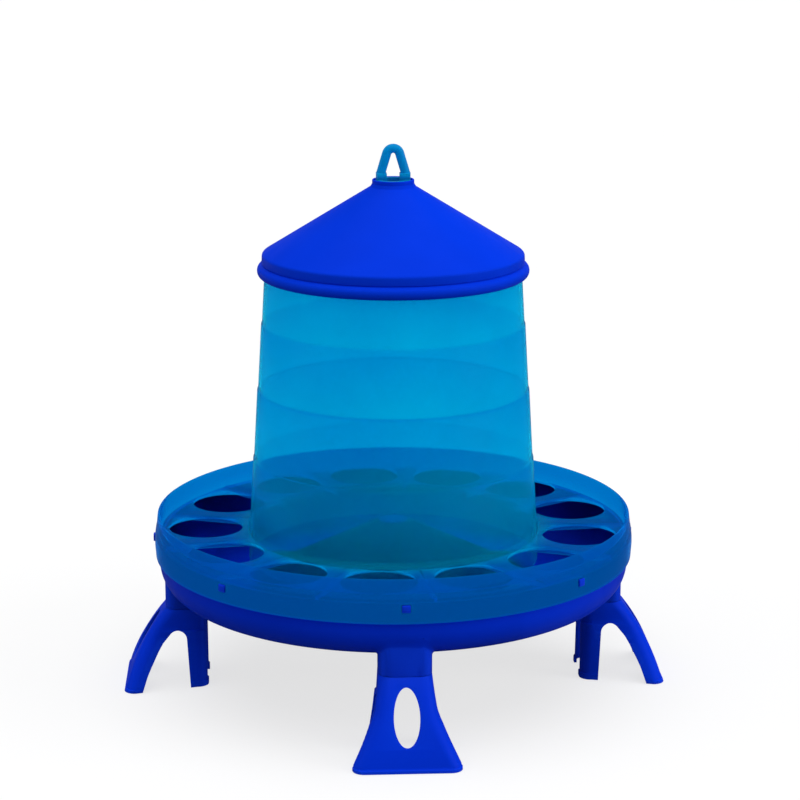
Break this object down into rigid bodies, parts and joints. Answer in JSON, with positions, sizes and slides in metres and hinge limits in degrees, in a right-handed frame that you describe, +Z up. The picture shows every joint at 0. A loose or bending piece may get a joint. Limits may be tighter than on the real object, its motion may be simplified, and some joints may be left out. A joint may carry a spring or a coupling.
{
  "type": "gravity poultry feeder",
  "caption": "Gravity poultry feeder: a tapered hopper over a covered feeding ring and pan, with plug-in legs, a conical lid and a hanging loop.",
  "frame": {"origin": "on the hopper's axis, at the level of the floor that the feet stand on", "axes": "+Z up along the hopper's axis, -Y towards leg_front, +X towards leg_right; the hanging loop lies in the X-Z plane"},
  "size_m": [0.4832, 0.4832, 0.482],
  "materials": {
    "blue_pan": "smooth moulded polypropylene, soft sheen",
    "blue_lid": "smooth moulded polypropylene, soft sheen",
    "blue_leg": "smooth moulded polypropylene, soft sheen",
    "clear_blue_hopper": "translucent frosted polypropylene",
    "clear_blue_hanger": "translucent frosted polypropylene, thick section"
  },
  "bodies": {
    "feeder_body": {"base_pan": "blue_pan", "hopper": "clear_blue_hopper", "hanger": "clear_blue_hanger"},
    "lid": {"lid": "blue_lid"},
    "leg_front": {"leg_front": "blue_leg"},
    "leg_right": {"leg_right": "blue_leg"},
    "leg_back": {"leg_back": "blue_leg"},
    "leg_left": {"leg_left": "blue_leg"}
  },
  "joints": [
    {"name": "lid_lift", "type": "slide", "parent": "feeder_body", "child": "lid", "axis": [0, 0, 1], "range_m": [0, 0.12]},
    {"name": "leg_front_pull", "type": "slide", "parent": "feeder_body", "child": "leg_front", "axis": [0, 0, -1], "range_m": [0, 0.03]},
    {"name": "leg_right_pull", "type": "slide", "parent": "feeder_body", "child": "leg_right", "axis": [0, 0, -1], "range_m": [0, 0.03]},
    {"name": "leg_back_pull", "type": "slide", "parent": "feeder_body", "child": "leg_back", "axis": [0, 0, -1], "range_m": [0, 0.03]},
    {"name": "leg_left_pull", "type": "slide", "parent": "feeder_body", "child": "leg_left", "axis": [0, 0, -1], "range_m": [0, 0.03]}
  ]
}
